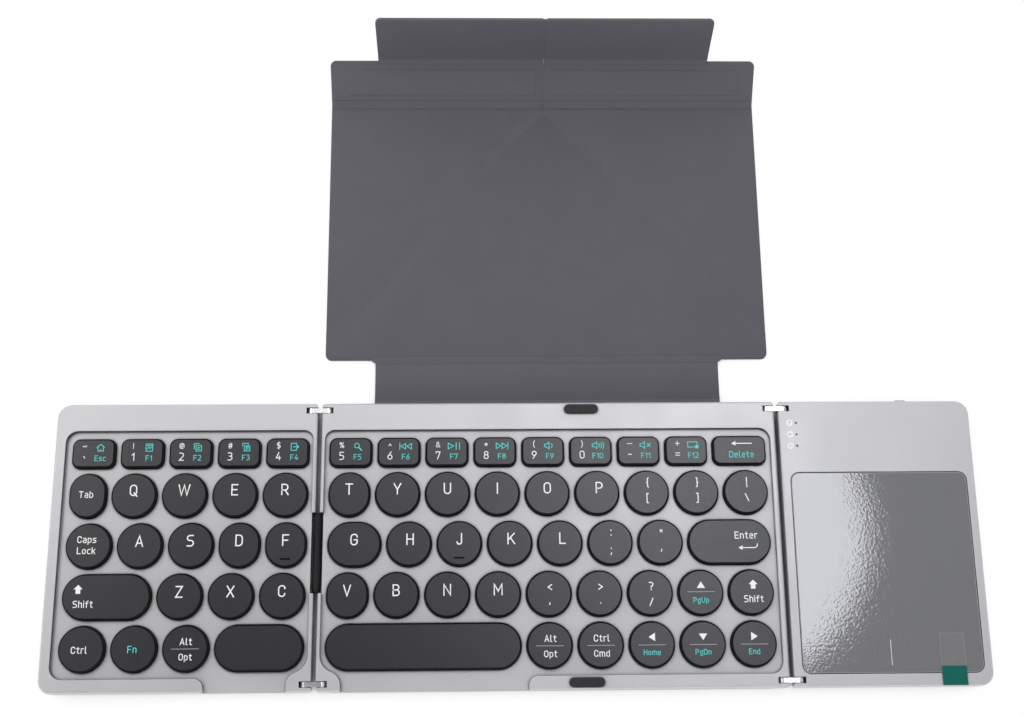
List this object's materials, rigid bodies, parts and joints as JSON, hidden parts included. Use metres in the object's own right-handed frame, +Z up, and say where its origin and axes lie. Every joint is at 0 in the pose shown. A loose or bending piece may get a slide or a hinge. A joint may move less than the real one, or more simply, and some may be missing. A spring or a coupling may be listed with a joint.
{
  "type": "folding keyboard",
  "caption": "Tri-fold pocket keyboard with round keys in recessed wells, a touchpad panel, link hinges and a wrap-round leather cover that folds into a stand.",
  "frame": {"origin": "centre of the middle panel's underside, on the table (mount base_rest)", "axes": "+X along the unfolded keyboard towards the touchpad, +Y to the rear where the cover is, +Z up"},
  "size_m": [0.3041, 0.2241, 0.0301],
  "materials": {
    "frame_metal": "satin",
    "bottom_plastic": "fine matt",
    "link_chrome": "polished",
    "pin_steel": "turned",
    "conduit_black": "satin",
    "key_grey": "fine matt with printed legends",
    "board_green": "solder resist",
    "dome_rubber": "translucent grey",
    "foot_rubber": "matt",
    "battery_foil": "dull foil",
    "socket_steel": "plated",
    "light_clear": "clear",
    "pad_grey": "smooth",
    "film_clear": "clear film",
    "tab_green": "printed film",
    "switch_silver": "silver paint",
    "leather_grey": "fine grained",
    "magnet_steel": "under leather"
  },
  "bodies": {
    "middle": {"cover_base": "leather_grey", "middle_frame": "frame_metal", "middle_bottom": "bottom_plastic", "middle_board": "board_green", "middle_domes": "dome_rubber", "middle_pins": "pin_steel", "end_pads": "foot_rubber"},
    "left_hinge": {"left_links": "link_chrome", "cable_conduit": "conduit_black"},
    "left_panel": {"left_frame": "frame_metal", "left_bottom": "bottom_plastic", "left_board": "board_green", "left_domes": "dome_rubber", "left_pins": "pin_steel", "left_feet": "foot_rubber", "left_screws": "pin_steel"},
    "right_hinge": {"right_links": "link_chrome"},
    "right_panel": {"right_frame": "frame_metal", "right_bottom": "bottom_plastic", "right_pins": "pin_steel", "right_feet": "foot_rubber", "right_screws": "pin_steel", "main_board": "board_green", "battery": "battery_foil", "charging_socket": "socket_steel", "status_lights": "light_clear", "click_switches": "pin_steel", "pull_tab": "tab_green"},
    "touchpad_plate": {"touchpad": "pad_grey", "touchpad_film": "film_clear"},
    "power_slider": {"power_switch": "switch_silver"},
    "neck": {"cover_neck": "leather_grey"},
    "lid_centre": {"cover_centre": "leather_grey"},
    "left_wing": {"cover_left_wing": "leather_grey"},
    "right_wing": {"cover_right_wing": "leather_grey"},
    "left_strip": {"cover_left_strip": "leather_grey", "left_magnet_plate": "magnet_steel"},
    "right_strip": {"cover_right_strip": "leather_grey", "right_magnet_plate": "magnet_steel"},
    "left_flap": {"cover_left_flap": "leather_grey"},
    "right_flap": {"cover_right_flap": "leather_grey"},
    "esc_key_caps": {"esc_key": "key_grey"},
    "tab_key_caps": {"tab_key": "key_grey"},
    "caps_lock_key_caps": {"caps_lock_key": "key_grey"},
    "left_shift_key_caps": {"left_shift_key": "key_grey"},
    "left_modifier_keys_caps": {"left_modifier_keys": "key_grey"},
    "left_space_key_caps": {"left_space_key": "key_grey"},
    "left_number_keys_caps": {"left_number_keys": "key_grey"},
    "left_upper_keys_caps": {"left_upper_keys": "key_grey"},
    "left_lower_keys_caps": {"left_lower_keys": "key_grey"},
    "delete_key_caps": {"delete_key": "key_grey"},
    "number_keys_caps": {"number_keys": "key_grey"},
    "upper_keys_caps": {"upper_keys": "key_grey"},
    "home_keys_caps": {"home_keys": "key_grey"},
    "enter_key_caps": {"enter_key": "key_grey"},
    "lower_keys_caps": {"lower_keys": "key_grey"},
    "right_shift_key_caps": {"right_shift_key": "key_grey"},
    "space_key_caps": {"space_key": "key_grey"},
    "modifier_keys_caps": {"modifier_keys": "key_grey"},
    "arrow_keys_caps": {"arrow_keys": "key_grey"}
  },
  "joints": [
    {"name": "left_link_fold", "type": "hinge", "parent": "middle", "child": "left_hinge", "pos_m": [-0.07365, 0, 0.005], "axis": [0, 1, 0], "range_deg": [0, 90]},
    {"name": "left_panel_fold", "type": "hinge", "parent": "left_hinge", "child": "left_panel", "pos_m": [-0.07885, 0, 0.005], "axis": [0, 1, 0], "range_deg": [0, 90]},
    {"name": "right_link_fold", "type": "hinge", "parent": "middle", "child": "right_hinge", "pos_m": [0.07365, 0, 0.005], "axis": [0, -1, 0], "range_deg": [0, 90]},
    {"name": "right_panel_fold", "type": "hinge", "parent": "right_hinge", "child": "right_panel", "pos_m": [0.07885, 0, 0.005], "axis": [0, -1, 0], "range_deg": [0, 90]},
    {"name": "touchpad_press", "type": "hinge", "parent": "right_panel", "child": "touchpad_plate", "pos_m": [0, 0.0225, 0.0059], "axis": [1, 0, 0], "range_deg": [0, 0.4], "stiffness_Nm_per_rad": 5, "springref_deg": -0.17},
    {"name": "power_slide", "type": "slide", "parent": "right_panel", "child": "power_slider", "axis": [1, 0, 0], "range_m": [0, 0.002]},
    {"name": "neck_fold", "type": "hinge", "parent": "middle", "child": "neck", "pos_m": [0, 0.04785, 0.0012], "axis": [1, 0, 0], "range_deg": [0, 90]},
    {"name": "lid_fold", "type": "hinge", "parent": "neck", "child": "lid_centre", "pos_m": [0, 0.06305, 0.0012], "axis": [1, 0, 0], "range_deg": [0, 90.5]},
    {"name": "left_wing_fold", "type": "hinge", "parent": "lid_centre", "child": "left_wing", "pos_m": [0, 0.15825, 0], "axis": [0.6461, 0.7633, 0], "range_deg": [-97, 0]},
    {"name": "right_wing_fold", "type": "hinge", "parent": "lid_centre", "child": "right_wing", "pos_m": [0, 0.15825, 0], "axis": [0.6461, -0.7633, 0], "range_deg": [-97, 0]},
    {"name": "left_strip_fold", "type": "hinge", "parent": "left_wing", "child": "left_strip", "pos_m": [0, 0.15825, 0.0012], "axis": [1, 0, 0], "range_deg": [0, 52.5]},
    {"name": "right_strip_fold", "type": "hinge", "parent": "right_wing", "child": "right_strip", "pos_m": [0, 0.15825, 0.0012], "axis": [1, 0, 0], "range_deg": [0, 52.5]},
    {"name": "left_flap_fold", "type": "hinge", "parent": "left_strip", "child": "left_flap", "pos_m": [0, 0.17092, 0.01075], "axis": [1, 0, 0], "range_deg": [-38, 52]},
    {"name": "right_flap_fold", "type": "hinge", "parent": "right_strip", "child": "right_flap", "pos_m": [0, 0.17092, 0.01075], "axis": [1, 0, 0], "range_deg": [-38, 52]},
    {"name": "esc_key_press", "type": "slide", "parent": "left_panel", "child": "esc_key_caps", "axis": [0, 0, -1], "range_m": [0, 0.0013], "stiffness_N_per_m": 450},
    {"name": "tab_key_press", "type": "slide", "parent": "left_panel", "child": "tab_key_caps", "axis": [0, 0, -1], "range_m": [0, 0.0013], "stiffness_N_per_m": 450},
    {"name": "caps_lock_key_press", "type": "slide", "parent": "left_panel", "child": "caps_lock_key_caps", "axis": [0, 0, -1], "range_m": [0, 0.0013], "stiffness_N_per_m": 450},
    {"name": "left_shift_key_press", "type": "slide", "parent": "left_panel", "child": "left_shift_key_caps", "axis": [0, 0, -1], "range_m": [0, 0.0013], "stiffness_N_per_m": 450},
    {"name": "left_modifier_keys_press", "type": "slide", "parent": "left_panel", "child": "left_modifier_keys_caps", "axis": [0, 0, -1], "range_m": [0, 0.0013], "stiffness_N_per_m": 1350},
    {"name": "left_space_key_press", "type": "slide", "parent": "left_panel", "child": "left_space_key_caps", "axis": [0, 0, -1], "range_m": [0, 0.0013], "stiffness_N_per_m": 450},
    {"name": "left_number_keys_press", "type": "slide", "parent": "left_panel", "child": "left_number_keys_caps", "axis": [0, 0, -1], "range_m": [0, 0.0013], "stiffness_N_per_m": 1800},
    {"name": "left_upper_keys_press", "type": "slide", "parent": "left_panel", "child": "left_upper_keys_caps", "axis": [0, 0, -1], "range_m": [0, 0.0013], "stiffness_N_per_m": 1800},
    {"name": "left_lower_keys_press", "type": "slide", "parent": "left_panel", "child": "left_lower_keys_caps", "axis": [0, 0, -1], "range_m": [0, 0.0013], "stiffness_N_per_m": 3150},
    {"name": "delete_key_press", "type": "slide", "parent": "middle", "child": "delete_key_caps", "axis": [0, 0, -1], "range_m": [0, 0.0013], "stiffness_N_per_m": 450},
    {"name": "number_keys_press", "type": "slide", "parent": "middle", "child": "number_keys_caps", "axis": [0, 0, -1], "range_m": [0, 0.0013], "stiffness_N_per_m": 3600},
    {"name": "upper_keys_press", "type": "slide", "parent": "middle", "child": "upper_keys_caps", "axis": [0, 0, -1], "range_m": [0, 0.0013], "stiffness_N_per_m": 4050},
    {"name": "home_keys_press", "type": "slide", "parent": "middle", "child": "home_keys_caps", "axis": [0, 0, -1], "range_m": [0, 0.0013], "stiffness_N_per_m": 3150},
    {"name": "enter_key_press", "type": "slide", "parent": "middle", "child": "enter_key_caps", "axis": [0, 0, -1], "range_m": [0, 0.0013], "stiffness_N_per_m": 450},
    {"name": "lower_keys_press", "type": "slide", "parent": "middle", "child": "lower_keys_caps", "axis": [0, 0, -1], "range_m": [0, 0.0013], "stiffness_N_per_m": 3150},
    {"name": "right_shift_key_press", "type": "slide", "parent": "middle", "child": "right_shift_key_caps", "axis": [0, 0, -1], "range_m": [0, 0.0013], "stiffness_N_per_m": 450},
    {"name": "space_key_press", "type": "slide", "parent": "middle", "child": "space_key_caps", "axis": [0, 0, -1], "range_m": [0, 0.0013], "stiffness_N_per_m": 450},
    {"name": "modifier_keys_press", "type": "slide", "parent": "middle", "child": "modifier_keys_caps", "axis": [0, 0, -1], "range_m": [0, 0.0013], "stiffness_N_per_m": 900},
    {"name": "arrow_keys_press", "type": "slide", "parent": "middle", "child": "arrow_keys_caps", "axis": [0, 0, -1], "range_m": [0, 0.0013], "stiffness_N_per_m": 1800}
  ],
  "couplings": [
    {"joint": "right_wing_fold", "follows": "left_wing_fold", "ratio": 1},
    {"joint": "right_strip_fold", "follows": "left_strip_fold", "ratio": 1},
    {"joint": "right_flap_fold", "follows": "left_flap_fold", "ratio": 1}
  ]
}
